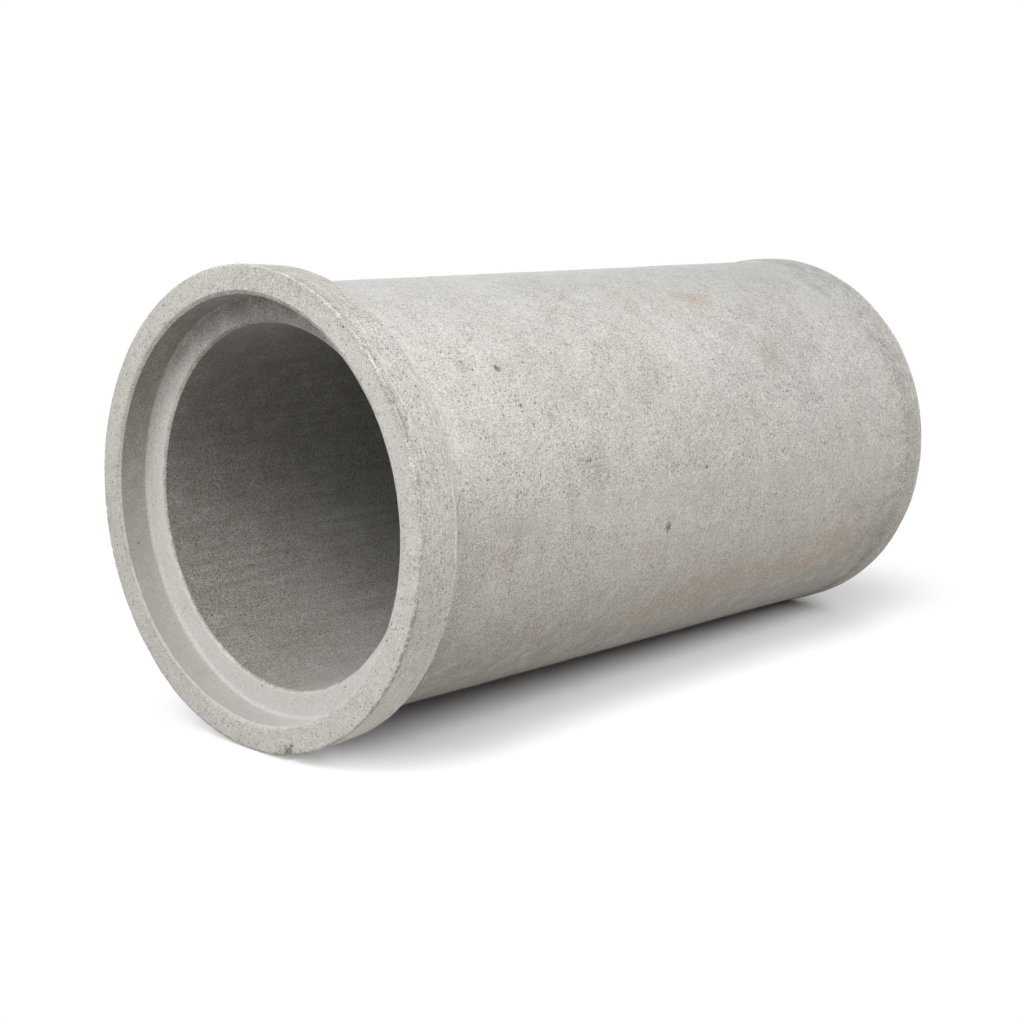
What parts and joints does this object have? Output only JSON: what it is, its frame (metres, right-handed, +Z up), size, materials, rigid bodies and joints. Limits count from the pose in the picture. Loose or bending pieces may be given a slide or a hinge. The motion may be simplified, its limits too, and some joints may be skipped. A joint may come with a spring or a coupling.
{
  "type": "concrete sewer pipe",
  "caption": "Short-bell concrete drain and sewer pipe with a recessed socket at the bell and a plain stepped spigot at the far end, lying on its side.",
  "frame": {"origin": "middle of the footprint on the ground that the pipe lies on", "axes": "+Z up, the bell faces -Y and the spigot points to +Y; the pipe's axis falls about 1.2 degrees towards +Y because it lies on the bell's rim"},
  "size_m": [0.658, 1.2584, 0.6575],
  "materials": {
    "concrete": "matt, fine sandy cast surface with small pores, light warm grey"
  },
  "bodies": {
    "root": {"pipe": "concrete"}
  },
  "joints": []
}
